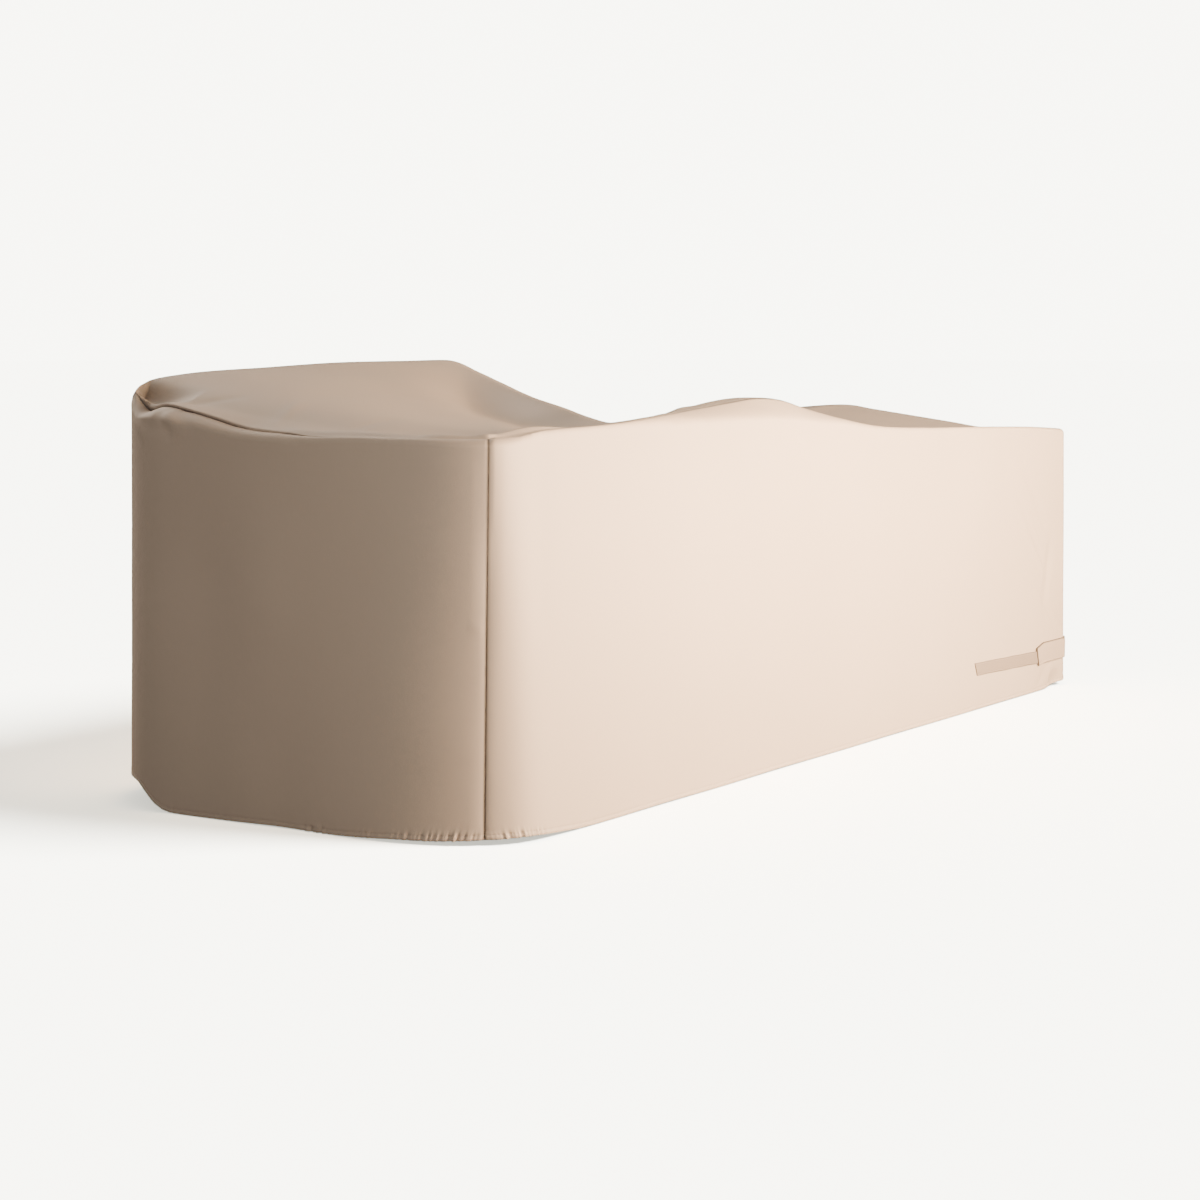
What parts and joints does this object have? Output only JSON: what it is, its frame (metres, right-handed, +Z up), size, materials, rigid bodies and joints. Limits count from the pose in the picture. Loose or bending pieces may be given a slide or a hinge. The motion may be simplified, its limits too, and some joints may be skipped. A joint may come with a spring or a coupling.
{
  "type": "chaise lounge cover",
  "caption": "Fitted sewn cloth cover for a chaise lounge: a raised far ridge and sagging top, walls down to a hem, and a fastening strip with a corner tab; hollow and open below.",
  "frame": {"origin": "middle of the plan, on the ground that the near wall's hem reaches", "axes": "+X along the length from the head end to the foot end, +Y from the near side to the far side, +Z up"},
  "size_m": [2.1885, 0.8087, 0.7069],
  "materials": {
    "cloth": "satin coated plain weave",
    "strip": "matt fine loop pile",
    "tab": "satin coated plain weave, doubled"
  },
  "bodies": {
    "root": {"top_panel": "cloth", "near_panel": "cloth", "far_panel": "cloth", "head_panel": "cloth", "foot_panel": "cloth", "fastening_strip": "strip", "corner_tab": "tab"}
  },
  "joints": []
}
